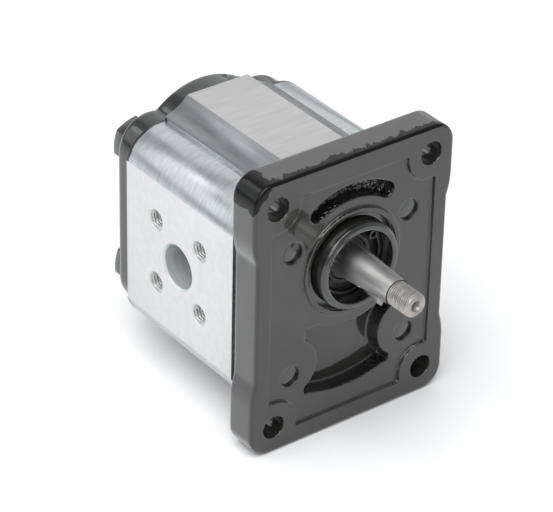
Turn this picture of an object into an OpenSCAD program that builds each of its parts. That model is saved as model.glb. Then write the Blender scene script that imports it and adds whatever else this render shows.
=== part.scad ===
// Hydraulic gear pump: a cast mounting flange, an extruded body and a cast rear cover hold two
// meshing gears between floating bearing blocks, with a sealed tapered drive shaft at the front.
// Frame: X to the right as seen from the shaft end, Y back into the pump, Z up, millimetres.
// Origin: centre of the locating spigot, in the plane of the mounting face. The shaft points to -Y.

/* [Mounting flange] */
// Width of the flange plate across its corner ears
flange_w = 93; // [91:0.5:96]
// Height of the flange plate
flange_h = 119; // [117:0.5:122]
// Thickness of the flange plate
flange_t = 14; // [13:0.5:16]
// Horizontal distance between the fixing holes
fix_dx = 71.4; // [70.8:0.1:72]
// Vertical distance between the fixing holes
fix_dz = 96.2; // [95.6:0.1:96.8]
// Height of the upper fixing holes above the shaft axis
fix_top = 35.1; // [34:0.1:36]
// Radius of the fixing holes
fix_r = 4.75; // [4.5:0.05:5]
// Radius of the locating spigot
spigot_r = 18.25; // [17.5:0.05:18.5]
// Height of the spigot above the mounting face
spigot_h = 4.8; // [4:0.1:5.5]
// How far the middle of the mounting face is relieved behind its rim
relief = 1.5; // [1:0.1:2]
// How far the sides are waisted in between the ears
waist_in = 1.7; // [0.8:0.1:2.2]

/* [Body and cover] */
// Width of the body across its two port faces
body_w = 85.6; // [84:0.2:88]
// Length of the extruded body
body_len = 69.5; // [66:0.5:74]
// Half the height of the body, up to its machined pad
body_half_h = 51; // [50:0.25:52]
// Half the width of the machined pad
pad_half_w = 14.4; // [12:0.2:16]
// Horizontal offset of the through bolts from the middle
bolt_dx = 27.3; // [27:0.1:28]
// Vertical offset of the through bolts from the middle
bolt_dz = 27.3; // [27:0.1:28]
// Radius of the rounded corner around each through bolt
lobe_r = 16; // [15:0.25:16.5]
// Thickness of the rear cover
cover_t = 12.5; // [11:0.5:14]

/* [Ports] */
// Radius of the port bores
port_r = 9; // [8:0.25:9.5]
// Pitch circle diameter of the port fixing threads
port_pcd = 40; // [39:0.5:42]
// Radius of the port fixing threads, at their major diameter
port_thread_r = 4.05; // [3.5:0.05:4.2]
// Depth of the port fixing threads
port_thread_depth = 14; // [10:1:15]
// Distance of the port axis behind the mounting face
port_y = 53.5; // [52.5:0.5:54.5]

/* [Gears] */
// Number of teeth on each gear
teeth = 12; // [11:1:12]
// Distance between the two gear axes
centre_dist = 29.5; // [29:0.25:30]
// Width of the gears
gear_w = 20; // [19:0.5:22]
// Pressure angle of the teeth
pressure_angle = 25; // [24:0.5:26]
// How much each tooth flank is relieved for backlash
flank_gap = 0.08; // [0.05:0.01:0.12]

/* [Shafts] */
// Radius of the journals in the bushes
journal_r = 8.5; // [8:0.1:8.8]
// Radial clearance of the journals in the bushes
journal_gap = 0.03; // [0.02:0.01:0.08]
// Radius of the tapered end in the plane of the mounting face
taper_r = 7; // [6.8:0.1:7.4]
// Taper of the shaft end on its diameter, as one part in so many
taper_ratio = 8; // [7:0.5:10]
// Distance from the mounting face to the small end of the taper
taper_out = 26; // [24:0.5:27]
// Radius of the threaded shaft end
thread_r = 5; // [4.5:0.1:5]
// Distance from the mounting face to the end of the shaft
shaft_out = 37.3; // [36:0.1:40]
// Angle of the key round the shaft, from straight down towards +X
key_turn = -43; // [-60:1:60]

/* [Hidden] */
$fn = 72;

// Heights and depths that follow from the sizes above
mid_z = -centre_dist / 2;
fix_mid_z = fix_top - fix_dz / 2;
body_y0 = flange_t + 4;
body_y1 = body_y0 + body_len;
cover_y1 = body_y1 + cover_t;
gear_y0 = port_y - gear_w / 2;
gear_y1 = port_y + gear_w / 2;
wall_gap = 0.05;
face_gap = 0.04;

// Flange face
ear_r = 9;
shoulder_z = 29;
shoulder_run = 7;
panel_half_w = 38.2;
panel_top = 36.8;
panel_bottom = -64.4;
boss_r = 10.6;
ring_r = 22.6;
groove_r = 20.4;
groove_depth = 2.6;
neck_in = 1.6;
slot_in_r = 26.8;
slot_out_r = 33.2;
slot_half_angle = 33;
slot_depth = 6;
slot_end_step = 0.03;
pocket_depth = 6.7;
pocket_top_r = 27.7;
pocket_half_w = 20.4;
pocket_foot_half_w = 18;
pocket_foot_z = -53;
pocket_sag = 3;
pocket_side_r = 12.8;
pocket_side_up = 2.9;
seal_bore_r = 15.2;
seal_bore_end = 10.2;
neck_bore_r = 9.4;
edge = 1;

// Through bolts
bolt_r = 5;
bolt_hole_r = 5.25;
bolt_tip_y = relief + 1.1;
head_flats = 17;
head_h = 6.4;

// Body and cover outlines
flank_valley_x = 24.8;
flank_valley_drop = 6.3;
flank_sag = 1.1;
dome_r = 32.6;
dome_drop = 1.2;
cover_lobe_dx = 25.2;
cover_lobe_dz = 28;
cover_lobe_r = 14.3;
cover_round = 3.6;
round_steps = 4;

// Gears
pitch_r = centre_dist / 2;
gear_module = centre_dist / teeth;
tip_r = pitch_r + gear_module;
root_r = pitch_r - 1.25 * gear_module;
base_r = pitch_r * cos(pressure_angle);
cavity_r = tip_r + wall_gap;
flank_steps = 5;

// Bearings and seals
block_r = cavity_r - wall_gap;
bush_wall = 1.5;
bush_r = journal_r + journal_gap + bush_wall;
block_seal_in = 12.4;
block_seal_split = 15.2;
block_seal_out = 16.3;
block_seal_depth = 2.2;
body_seal_r = 21.4;
body_seal_w = 2.6;
body_seal_depth = 1.9;
seal_case_wall = 1;
seal_y0 = 3.1;
seal_y1 = 10;
ring_y = 1.7;
ring_t = 1.2;
ring_in_r = 13.4;
ring_out_r = 16.1;
ring_groove_r = 16.3;
ring_gap_angle = 54;
ring_half_gap = 16;
lug_r = 2.1;
lug_hole_r = 1;

// Key
key_disc_r = 6.5;
key_w = 3;
key_height = 5;
key_centre = 8.2;
key_y = -15.8;
key_rock = 5.8;
key_gap = 0.03;

// Dowels
dowel_x = 33.5;
dowel_r = 3;
dowel_half_len = 5;

// A 2D outline drawn in X and Z, made solid from y0 back to y1.
module slab(y0, y1) {
    translate([0, y1, 0])
        rotate([90, 0, 0])
            linear_extrude(y1 - y0)
                children();
}

// A cylinder or cone along Y, with radius r0 at y0 and r1 at y1.
module rod(r0, r1, y0, y1) {
    translate([0, y1, 0])
        rotate([90, 0, 0])
            cylinder(r1 = r1, r2 = r0, h = y1 - y0);
}

// A plain ring along Y.
module ring(r_out, r_in, y0, y1) {
    difference() {
        rod(r_out, r_out, y0, y1);
        rod(r_in, r_in, y0 - 1, y1 + 1);
    }
}

// Copies at the four through bolts.
module at_bolts() {
    for (sx = [-1, 1], sz = [-1, 1])
        translate([sx * bolt_dx, 0, mid_z + sz * bolt_dz])
            children();
}

// Copies at the four fixing holes of the flange, in 2D.
module at_fixings_2d() {
    for (sx = [-1, 1], sz = [-1, 1])
        translate([sx * fix_dx / 2, fix_mid_z + sz * fix_dz / 2])
            children();
}

// Copies on the drive axis and on the driven axis.
module at_axes() {
    children();
    translate([0, 0, -centre_dist])
        children();
}

// A rectangle with round corners.
module round_rect(w, h, r) {
    square([w - 2 * r, h], center = true);
    square([w, h - 2 * r], center = true);
    for (sx = [-1, 1], sz = [-1, 1])
        translate([sx * (w / 2 - r), sz * (h / 2 - r)])
            circle(r);
}

// Flange plate outline: round corners, and sides waisted between four ears.
module plate_outline() {
    translate([0, fix_mid_z])
        difference() {
            round_rect(flange_w, flange_h, ear_r);
            for (s = [-1, 1])
                scale([s, 1])
                    polygon([
                        [flange_w / 2 + 1, shoulder_z + shoulder_run],
                        [flange_w / 2, shoulder_z + shoulder_run],
                        [flange_w / 2 - waist_in, shoulder_z - shoulder_run],
                        [flange_w / 2 - waist_in, shoulder_run - shoulder_z],
                        [flange_w / 2, -shoulder_z - shoulder_run],
                        [flange_w / 2 + 1, -shoulder_z - shoulder_run]
                    ]);
        }
}

// Relieved middle of the mounting face: it leaves a rim, four corner bosses and the spigot ring.
module relief_outline() {
    difference() {
        translate([-panel_half_w, panel_bottom])
            square([2 * panel_half_w, panel_top - panel_bottom]);
        at_fixings_2d()
            circle(boss_r);
        circle(ring_r);
    }
}

// Curved slot above the spigot. Its round ends are a hair narrower than the slot itself.
module slot_outline() {
    mid_r = (slot_in_r + slot_out_r) / 2;
    reach = 2 * slot_out_r;
    intersection() {
        difference() {
            circle(slot_out_r);
            circle(slot_in_r);
        }
        polygon([
            [0, 0],
            reach * [-sin(slot_half_angle), cos(slot_half_angle)],
            reach * [sin(slot_half_angle), cos(slot_half_angle)]
        ]);
    }
    for (s = [-1, 1])
        translate(mid_r * [s * sin(slot_half_angle), cos(slot_half_angle)])
            circle((slot_out_r - slot_in_r) / 2 - slot_end_step);
}

// Bell-shaped pocket below the spigot, drawn in by the lower bolt bosses.
module pocket_outline() {
    foot_r = (pow(pocket_foot_half_w, 2) + pow(pocket_sag, 2)) / (2 * pocket_sag);
    difference() {
        union() {
            translate([-pocket_half_w, pocket_foot_z])
                square([2 * pocket_half_w, -pocket_foot_z]);
            intersection() {
                translate([0, pocket_foot_z - pocket_sag + foot_r])
                    circle(foot_r);
                translate([-pocket_half_w, pocket_foot_z - pocket_sag])
                    square([2 * pocket_half_w, 2 * pocket_sag]);
            }
        }
        circle(pocket_top_r);
        for (s = [-1, 1])
            translate([s * bolt_dx, mid_z - bolt_dz + pocket_side_up])
                circle(pocket_side_r);
        translate([-flange_w / 2, 4 - pocket_top_r])
            square([flange_w, flange_h]);
    }
}

// Concave flank beside the pad: the circle that hollows it, for the upper right corner.
module flank_hollow() {
    chord = [flank_valley_x - pad_half_w, -flank_valley_drop];
    half = norm(chord) / 2;
    r = (half * half + flank_sag * flank_sag) / (2 * flank_sag);
    out = [-chord[1], chord[0]] / norm(chord);
    middle = [pad_half_w, body_half_h] + chord / 2;
    translate(middle + (r - flank_sag) * out)
        circle(r, $fn = 96);
}

// Outline shared by the body and the flange neck, drawn in by inset all round.
module body_outline(inset = 0) {
    translate([0, mid_z]) {
        intersection() {
            union() {
                for (sx = [-1, 1], sz = [-1, 1])
                    translate([sx * bolt_dx, sz * bolt_dz])
                        circle(lobe_r - inset);
                square([body_w, 2 * bolt_dz], center = true);
            }
            square([body_w - 2 * inset, 2 * body_half_h], center = true);
        }
        difference() {
            square(2 * [flank_valley_x, body_half_h - inset], center = true);
            for (sx = [0, 1], sz = [0, 1])
                mirror([sx, 0])
                    mirror([0, sz])
                        translate(-[inset, inset])
                            flank_hollow();
        }
    }
}

// The cover's rear edge is a quarter round, cut in steps: how far back step i reaches, and how far
// in it stands.
function round_depth(i) = cover_round * sin(90 * i / round_steps);
function round_inset(i) = cover_round * (1 - cos(90 * (i - 0.5) / round_steps));

// Cover outline: a lobe round each bolt, with a shallow dome above and below.
module cover_outline(inset) {
    dome_z = body_half_h - dome_drop - dome_r;
    translate([0, mid_z]) {
        for (sx = [-1, 1], sz = [-1, 1])
            translate([sx * cover_lobe_dx, sz * cover_lobe_dz])
                circle(cover_lobe_r - inset);
        square(
            [2 * (cover_lobe_dx + cover_lobe_r - inset), 2 * cover_lobe_dz],
            center = true
        );
        intersection() {
            square(2 * [flank_valley_x, body_half_h], center = true);
            union() {
                for (s = [-1, 1])
                    translate([0, s * dome_z])
                        circle(dome_r - inset, $fn = 120);
                square(2 * [flank_valley_x, cover_lobe_dz], center = true);
            }
        }
    }
}

// Bores for both gears side by side, as a 2D outline.
module twin_circles(r) {
    circle(r);
    translate([0, -centre_dist])
        circle(r);
}

// Racetrack round both gear axes.
module racetrack(r) {
    twin_circles(r);
    translate([-r, -centre_dist])
        square([2 * r, centre_dist]);
}

// Seal on the outer face of a bearing block: one open arc round each axis, joined in the middle.
module three_shape(r_in, r_out) {
    band = r_out - r_in;
    mid_r = (r_in + r_out) / 2;
    difference() {
        twin_circles(r_out);
        twin_circles(r_in);
        translate([-2 * r_out, -2 * r_out - centre_dist])
            square([2 * r_out, 4 * r_out + centre_dist]);
    }
    for (z = [mid_r, -centre_dist - mid_r])
        translate([-band, z - band / 2])
            square([band + 1, band]);
}

// Gear tooth outline: angle between the tooth's middle and its flank at radius r.
function roll(r) = sqrt(max(0, pow(r / base_r, 2) - 1));
function flank_turn(r) = roll(r) * 180 / PI - atan(roll(r));
function half_tooth(r) =
    90 / teeth - flank_gap / pitch_r * 180 / PI
    + flank_turn(pitch_r) - flank_turn(max(r, base_r));
function polar(r, a) = r * [cos(a), sin(a)];
function flank_r(i) = base_r + (tip_r - base_r) * i / flank_steps;
function tooth(a) = concat(
    [polar(root_r, a - half_tooth(base_r))],
    [for (i = [0 : flank_steps]) polar(flank_r(i), a - half_tooth(flank_r(i)))],
    [for (i = [flank_steps : -1 : 0]) polar(flank_r(i), a + half_tooth(flank_r(i)))],
    [polar(root_r, a + half_tooth(base_r))]
);

// Gear blank with involute teeth, one of them centred at angle turn.
module gear_outline(turn) {
    polygon([for (i = [0 : teeth - 1]) each tooth(turn + i * 360 / teeth)]);
}

// Moves a key lying at the origin, flat side down, to its seat on the shaft.
module at_key_seat() {
    rotate([0, -key_turn, 0])
        translate([0, key_y, -key_centre])
            children();
}

// Disc that the half-round key is cut from; grow widens it to cut the keyway.
module key_disc(grow) {
    rotate([0, 90, 0])
        cylinder(r = key_disc_r + grow, h = key_w + 2 * grow, center = true);
}

module front_flange() {
    color("#2b2d2b")
        difference() {
            union() {
                slab(0, flange_t)
                    plate_outline();
                slab(flange_t, body_y0)
                    body_outline(neck_in);
                rod(spigot_r - edge, spigot_r, -spigot_h, edge - spigot_h);
                rod(spigot_r, spigot_r, edge - spigot_h, groove_depth);
            }
            slab(-1, relief)
                relief_outline();
            difference() {
                rod(groove_r, groove_r, -1, groove_depth);
                rod(spigot_r, spigot_r, -1, groove_depth);
            }
            slab(-1, relief + slot_depth)
                slot_outline();
            slab(-1, relief + pocket_depth)
                pocket_outline();
            slab(-1, flange_t + 1)
                at_fixings_2d()
                    circle(fix_r);
            at_bolts()
                rod(bolt_r, bolt_r, -1, body_y0 + 1);
            rod(seal_bore_r, seal_bore_r, -spigot_h - 1, seal_bore_end);
            rod(ring_groove_r, ring_groove_r, ring_y - wall_gap, ring_y + ring_t + wall_gap);
            rod(neck_bore_r, neck_bore_r, 0, body_y0 + 1);
            for (s = [-1, 1])
                translate([s * dowel_x, 0, mid_z])
                    rod(dowel_r, dowel_r, body_y0 - dowel_half_len, body_y0 + 1);
        }
}

module pump_body() {
    color("#c9ced2")
        difference() {
            slab(body_y0, body_y1)
                body_outline();
            slab(body_y0 - 1, body_y1 + 1)
                twin_circles(cavity_r);
            at_bolts()
                rod(bolt_hole_r, bolt_hole_r, body_y0 - 1, body_y1 + 1);
            for (s = [-1, 1])
                scale([s, 1, 1])
                    port_cut();
            for (y = [body_y0, body_y1])
                slab(y - body_seal_depth, y + body_seal_depth)
                    difference() {
                        racetrack(body_seal_r + body_seal_w / 2 + wall_gap);
                        racetrack(body_seal_r - body_seal_w / 2 - wall_gap);
                    }
            for (s = [-1, 1], y = [body_y0, body_y1])
                translate([s * dowel_x, 0, mid_z])
                    rod(dowel_r, dowel_r, y - dowel_half_len, y + dowel_half_len);
        }
}

// Port bore with its four tapped holes, on the +X side.
module port_cut() {
    face = body_w / 2;
    square_half = port_pcd / 2 / sqrt(2);
    throat_r = port_r - 1.5;
    bore_depth = 24.8;
    chamfer = 0.8;
    thread_chamfer = 0.6;
    translate([0, port_y, mid_z])
        rotate([0, 90, 0]) {
            translate([0, 0, cavity_r / 2])
                cylinder(r = throat_r, h = face);
            translate([0, 0, face - bore_depth])
                cylinder(r = port_r, h = bore_depth + 1);
            translate([0, 0, face - chamfer])
                cylinder(r1 = port_r, r2 = port_r + 2 * chamfer, h = 2 * chamfer);
            for (sy = [-1, 1], sz = [-1, 1])
                translate([sz * square_half, sy * square_half, 0]) {
                    translate([0, 0, face - port_thread_depth])
                        cylinder(r = port_thread_r, h = port_thread_depth + 1);
                    translate([0, 0, face - thread_chamfer])
                        cylinder(
                            r1 = port_thread_r,
                            r2 = port_thread_r + 2 * thread_chamfer,
                            h = 2 * thread_chamfer
                        );
                }
        }
}

module rear_cover() {
    color("#262826")
        difference() {
            union() {
                slab(body_y1, cover_y1 - cover_round)
                    cover_outline(0);
                for (i = [1 : round_steps])
                    slab(cover_y1 - cover_round, cover_y1 - cover_round + round_depth(i))
                        cover_outline(round_inset(i));
            }
            at_bolts()
                rod(bolt_hole_r, bolt_hole_r, body_y1 - 1, cover_y1 + 1);
            for (s = [-1, 1])
                translate([s * dowel_x, 0, mid_z])
                    rod(dowel_r, dowel_r, body_y1 - 1, body_y1 + dowel_half_len);
        }
}

module drive_gear_shaft() {
    rear_end = body_y1 - 1;
    shoulder_y = 4;
    taper_start = 2;
    small_r = taper_r - taper_out / taper_ratio / 2;
    big_r = taper_r + taper_start / taper_ratio / 2;
    chamfer = 0.7;
    drill_r = 1.2;
    drill_depth = 6;
    sink_r = 2.4;
    sink_depth = 2;
    color("#b9bbbd")
        difference() {
            union() {
                slab(gear_y0, gear_y1)
                    gear_outline(-90);
                rod(journal_r, journal_r, shoulder_y, rear_end);
                rod(big_r, journal_r, taper_start, shoulder_y);
                rod(small_r, big_r, -taper_out, taper_start);
                rod(thread_r, thread_r, chamfer - shaft_out, -taper_out);
                rod(thread_r - chamfer, thread_r, -shaft_out, chamfer - shaft_out);
            }
            at_key_seat()
                key_disc(key_gap);
            rod(drill_r, drill_r, -shaft_out - 1, drill_depth - shaft_out);
            rod(sink_r, drill_r, -shaft_out, sink_depth - shaft_out);
        }
}

module driven_gear_shaft() {
    end_gap = 1;
    color("#b9bbbd")
        translate([0, 0, -centre_dist]) {
            slab(gear_y0, gear_y1)
                gear_outline(90 - 180 / teeth);
            rod(journal_r, journal_r, body_y0 + end_gap, body_y1 - end_gap);
        }
}

// Floating block that carries both shafts; open grooves on its outer face hold the block seals.
module bearing_block(y0, y1, seal_y0) {
    color("#9fa4a8")
        difference() {
            slab(y0, y1)
                twin_circles(block_r);
            at_axes()
                rod(bush_r, bush_r, y0 - 1, y1 + 1);
            slab(seal_y0, seal_y0 + block_seal_depth)
                three_shape(block_seal_in - wall_gap, block_seal_out + wall_gap);
        }
}

module front_bearing_block() {
    bearing_block(body_y0 + face_gap, gear_y0 - face_gap, body_y0 + face_gap);
}

module rear_bearing_block() {
    y1 = body_y1 - face_gap;
    bearing_block(gear_y1 + face_gap, y1, y1 - block_seal_depth);
}

// Plain bush pressed into a bearing block.
module bush(y0, y1) {
    end_gap = 0.5;
    color("#8c7a58")
        ring(bush_r, journal_r + journal_gap, y0 + end_gap, y1 - end_gap);
}

module drive_front_bush() {
    bush(body_y0, gear_y0);
}

module drive_rear_bush() {
    bush(gear_y1, body_y1);
}

module driven_front_bush() {
    translate([0, 0, -centre_dist])
        bush(body_y0, gear_y0);
}

module driven_rear_bush() {
    translate([0, 0, -centre_dist])
        bush(gear_y1, body_y1);
}

// Rubber seal in the inner part of a block groove, from y0 over the groove's depth.
module block_seal(y0) {
    color("#1d1d1d")
        slab(y0, y0 + block_seal_depth)
            three_shape(block_seal_in, block_seal_split);
}

// Stiff backup strip in the outer part of the same groove.
module backup_seal(y0) {
    color("#e8e4d8")
        slab(y0, y0 + block_seal_depth)
            difference() {
                three_shape(block_seal_in, block_seal_out);
                three_shape(block_seal_in - 1, block_seal_split + wall_gap);
            }
}

module front_block_seal() {
    block_seal(body_y0 + face_gap);
}

module rear_block_seal() {
    block_seal(body_y1 - face_gap - block_seal_depth);
}

module front_backup_seal() {
    backup_seal(body_y0 + face_gap);
}

module rear_backup_seal() {
    backup_seal(body_y1 - face_gap - block_seal_depth);
}

// Seal between the body and the part bolted to it.
module body_seal(y0) {
    color("#1d1d1d")
        slab(y0, y0 + body_seal_depth)
            difference() {
                racetrack(body_seal_r + body_seal_w / 2);
                racetrack(body_seal_r - body_seal_w / 2);
            }
}

module front_body_seal() {
    body_seal(body_y0);
}

module rear_body_seal() {
    body_seal(body_y1 - body_seal_depth);
}

// Steel shell of the shaft seal: a tube with an inward flange at its inner end.
module shaft_seal_case() {
    case_r = seal_bore_r - wall_gap;
    flange_r = 11.2;
    inner_r = case_r - seal_case_wall;
    color("#5b5d5f")
        difference() {
            rod(case_r, case_r, seal_y0, seal_y1);
            rod(inner_r, inner_r, seal_y0 - 1, seal_y1 - seal_case_wall);
            rod(flange_r, flange_r, seal_y0 - 1, seal_y1 + 1);
        }
}

// Rubber of the shaft seal: a web, a main lip under the spring and a dust lip at the front.
module shaft_seal_lip() {
    rubber_gap = 0.02;
    lining_r = seal_bore_r - wall_gap - seal_case_wall - rubber_gap;
    lining_end = seal_y1 - seal_case_wall - rubber_gap;
    lining_t = 0.9;
    bevel_y = 0.3;
    bevel_r = 1.1;
    web_front = 0.9;
    web_back = 2.2;
    web_foot = 1.4;
    tail_end = 5.4;
    lip_edge = 4.4;
    lip_front = 2.6;
    dust_back = 1.5;
    dust_edge = 1;
    lip_r = journal_r + 0.06;
    neck_out = 0.7;
    tail_in = 0.9;
    tail_out = 1.6;
    web_in = 2.2;
    dust_in = 0.1;
    dust_tip = 0.4;
    dust_out = 1.9;
    color("#151515")
        rotate([-90, 0, 0])
            rotate_extrude()
                polygon([
                    [lining_r, seal_y0 + bevel_y],
                    [lining_r, lining_end],
                    [lining_r - lining_t, lining_end],
                    [lining_r - lining_t, seal_y0 + web_back],
                    [lip_r + web_in, seal_y0 + web_back],
                    [lip_r + tail_out, seal_y0 + tail_end],
                    [lip_r + tail_in, seal_y0 + tail_end],
                    [lip_r, seal_y0 + lip_edge],
                    [lip_r + neck_out, seal_y0 + lip_front],
                    [lip_r + neck_out, seal_y0 + dust_back],
                    [lip_r + dust_in, seal_y0 + dust_edge],
                    [lip_r + dust_tip, seal_y0 + bevel_y],
                    [lip_r + tail_out, seal_y0],
                    [lip_r + dust_out, seal_y0 + web_front],
                    [lining_r - web_foot, seal_y0 + web_front],
                    [lining_r - bevel_r, seal_y0]
                ]);
}

// Coil spring that hugs the main lip, as the closed ring that it forms.
module garter_spring() {
    wire_r = 0.65;
    spring_r = journal_r + 2.85;
    spring_y = seal_y0 + 4.9;
    color("#8a8c8e")
        translate([0, spring_y, 0])
            rotate([-90, 0, 0])
                rotate_extrude()
                    translate([spring_r, 0])
                        circle(wire_r, $fn = 24);
}

// Internal retaining ring in front of the shaft seal, with two eyed lugs at its gap.
module retaining_ring() {
    lug_r_out = ring_in_r - 0.4;
    lug_turn = ring_half_gap + 4;
    reach = 2 * ring_out_r;
    color("#3a3b3c")
        slab(ring_y, ring_y + ring_t)
            difference() {
                union() {
                    difference() {
                        circle(ring_out_r);
                        circle(ring_in_r);
                        polygon([
                            [0, 0],
                            polar(reach, ring_gap_angle - ring_half_gap),
                            polar(reach, ring_gap_angle + ring_half_gap)
                        ]);
                    }
                    for (s = [-1, 1])
                        translate(polar(lug_r_out, ring_gap_angle + s * lug_turn))
                            circle(lug_r, $fn = 32);
                }
                for (s = [-1, 1])
                    translate(polar(lug_r_out, ring_gap_angle + s * lug_turn))
                        circle(lug_hole_r, $fn = 24);
            }
}

// Half-round key, rocked in its seat so that its front end stands out of the taper.
module shaft_key() {
    color("#a3a5a6")
        at_key_seat()
            rotate([key_rock, 0, 0])
                intersection() {
                    key_disc(0);
                    translate([-key_w, -2 * key_disc_r, key_disc_r - key_height])
                        cube([2 * key_w, 4 * key_disc_r, 2 * key_disc_r]);
                }
}

// Hexagon-head through bolts, from the cover into the flange.
module cover_bolts() {
    washer_r = 7.8;
    washer_h = 0.6;
    color("#2e2f30")
        at_bolts() {
            rod(bolt_r - wall_gap, bolt_r - wall_gap, bolt_tip_y, cover_y1 + 1);
            rod(washer_r, washer_r, cover_y1, cover_y1 + washer_h);
            slab(cover_y1 + washer_h, cover_y1 + head_h)
                circle(head_flats / sqrt(3), $fn = 6);
        }
}

// Locating dowels between the flange, the body and the cover.
module dowel_pins() {
    slack = 0.5;
    color("#9a9c9e")
        for (s = [-1, 1], y = [body_y0, body_y1])
            translate([s * dowel_x, 0, mid_z])
                rod(
                    dowel_r - face_gap,
                    dowel_r - face_gap,
                    y - dowel_half_len + slack,
                    y + dowel_half_len - slack
                );
}

front_flange();
pump_body();
rear_cover();
drive_gear_shaft();
driven_gear_shaft();
front_bearing_block();
rear_bearing_block();
drive_front_bush();
drive_rear_bush();
driven_front_bush();
driven_rear_bush();
front_block_seal();
rear_block_seal();
front_backup_seal();
rear_backup_seal();
front_body_seal();
rear_body_seal();
shaft_seal_case();
shaft_seal_lip();
garter_spring();
retaining_ring();
shaft_key();
cover_bolts();
dowel_pins();
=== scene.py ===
import math

import bpy
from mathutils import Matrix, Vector, noise


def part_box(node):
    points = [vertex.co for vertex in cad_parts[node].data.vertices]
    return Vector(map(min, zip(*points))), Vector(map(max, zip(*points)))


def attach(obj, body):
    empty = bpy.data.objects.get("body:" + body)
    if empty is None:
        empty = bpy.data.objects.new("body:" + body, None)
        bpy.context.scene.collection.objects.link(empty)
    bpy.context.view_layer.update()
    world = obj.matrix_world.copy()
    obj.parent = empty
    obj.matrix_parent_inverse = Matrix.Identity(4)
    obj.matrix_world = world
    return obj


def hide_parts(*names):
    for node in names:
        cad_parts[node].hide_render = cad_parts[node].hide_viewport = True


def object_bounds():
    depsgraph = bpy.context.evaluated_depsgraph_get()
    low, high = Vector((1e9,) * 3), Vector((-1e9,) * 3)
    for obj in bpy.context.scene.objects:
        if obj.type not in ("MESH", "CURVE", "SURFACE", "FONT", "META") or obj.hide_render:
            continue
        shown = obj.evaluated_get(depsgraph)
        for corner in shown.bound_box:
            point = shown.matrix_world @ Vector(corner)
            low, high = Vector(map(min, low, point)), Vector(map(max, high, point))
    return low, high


mm = 0.001
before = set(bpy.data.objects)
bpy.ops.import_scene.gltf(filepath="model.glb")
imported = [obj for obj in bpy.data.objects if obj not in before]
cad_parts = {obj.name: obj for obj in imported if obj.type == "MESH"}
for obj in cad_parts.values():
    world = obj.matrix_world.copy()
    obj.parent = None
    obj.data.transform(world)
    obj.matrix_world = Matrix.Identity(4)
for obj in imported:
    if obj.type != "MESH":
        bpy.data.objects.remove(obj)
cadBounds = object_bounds()
print("frame loaded:", len(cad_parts), "nodes")

flangeLow, flangeHigh = (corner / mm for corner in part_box("front_flange"))
bodyLow, bodyHigh = (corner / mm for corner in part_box("pump_body"))
coverLow, coverHigh = (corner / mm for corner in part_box("rear_cover"))
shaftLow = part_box("drive_gear_shaft")[0] / mm
boltLow, boltHigh = (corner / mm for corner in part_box("cover_bolts"))
middleZ = (bodyLow.z + bodyHigh.z) / 2


# modelling tools, all sizes in millimetres


def leaveEditMode():
    if bpy.context.object and bpy.context.object.mode != "OBJECT":
        bpy.ops.object.mode_set(mode="OBJECT")


def makeActive(piece):
    leaveEditMode()
    bpy.ops.object.select_all(action="DESELECT")
    piece.select_set(True)
    bpy.context.view_layer.objects.active = piece
    return piece


def applyPlace(piece):
    makeActive(piece)
    bpy.ops.object.transform_apply(location=True, rotation=True, scale=True)
    return piece


def addRod(frontRadius, backRadius, front, back, x=0, z=0, sides=96):
    leaveEditMode()
    bpy.ops.object.select_all(action="DESELECT")
    bpy.ops.mesh.primitive_cone_add(
        vertices=sides,
        radius1=backRadius * mm,
        radius2=frontRadius * mm,
        depth=(back - front) * mm,
        location=(x * mm, (front + back) / 2 * mm, z * mm),
        rotation=(math.pi / 2, 0, 0),
    )
    return applyPlace(bpy.context.object)


def addSideRod(innerRadius, outerRadius, inner, outer, y, z, side, sides=96):
    # along X, from the middle out to one side
    leaveEditMode()
    bpy.ops.object.select_all(action="DESELECT")
    bpy.ops.mesh.primitive_cone_add(
        vertices=sides,
        radius1=innerRadius * mm,
        radius2=outerRadius * mm,
        depth=(outer - inner) * mm,
        location=(side * (inner + outer) / 2 * mm, y * mm, z * mm),
        rotation=(0, side * math.pi / 2, 0),
    )
    return applyPlace(bpy.context.object)


def addBlock(low, high):
    leaveEditMode()
    bpy.ops.object.select_all(action="DESELECT")
    bpy.ops.mesh.primitive_cube_add(
        size=1,
        location=[(a + b) / 2 * mm for a, b in zip(low, high)],
        scale=[(b - a) * mm for a, b in zip(low, high)],
    )
    return applyPlace(bpy.context.object)


def placeVertices(name, points):
    # a closed ring of vertices, filled, with each vertex moved to its own place
    leaveEditMode()
    bpy.ops.object.select_all(action="DESELECT")
    bpy.ops.mesh.primitive_circle_add(vertices=len(points), radius=mm, fill_type="NGON")
    piece = bpy.context.object
    piece.name = name
    for vertex, point in zip(piece.data.vertices, points):
        vertex.co = Vector(point) * mm
    return piece


def addOutline(name, points, front, back):
    # a closed outline in X and Z, extruded from front to back
    piece = placeVertices(name, [(x, front, z) for x, z in points])
    bpy.ops.object.mode_set(mode="EDIT")
    bpy.ops.mesh.select_all(action="SELECT")
    bpy.ops.mesh.extrude_region_move(TRANSFORM_OT_translate={"value": (0, (back - front) * mm, 0)})
    bpy.ops.mesh.select_all(action="SELECT")
    bpy.ops.mesh.normals_make_consistent(inside=False)
    bpy.ops.object.mode_set(mode="OBJECT")
    return piece


def addLathe(name, profile, steps=128):
    # a closed profile of radius and Y, spun round the Y axis
    piece = placeVertices(name, [(radius, y, 0) for radius, y in profile])
    bpy.ops.object.mode_set(mode="EDIT")
    bpy.ops.mesh.select_all(action="SELECT")
    bpy.ops.mesh.delete(type="ONLY_FACE")
    bpy.ops.mesh.select_all(action="SELECT")
    bpy.ops.mesh.spin(steps=steps, angle=2 * math.pi, center=(0, 0, 0), axis=(0, 1, 0))
    bpy.ops.mesh.select_all(action="SELECT")
    bpy.ops.mesh.remove_doubles(threshold=0.00001)
    bpy.ops.mesh.normals_make_consistent(inside=False)
    bpy.ops.object.mode_set(mode="OBJECT")
    return piece


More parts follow.
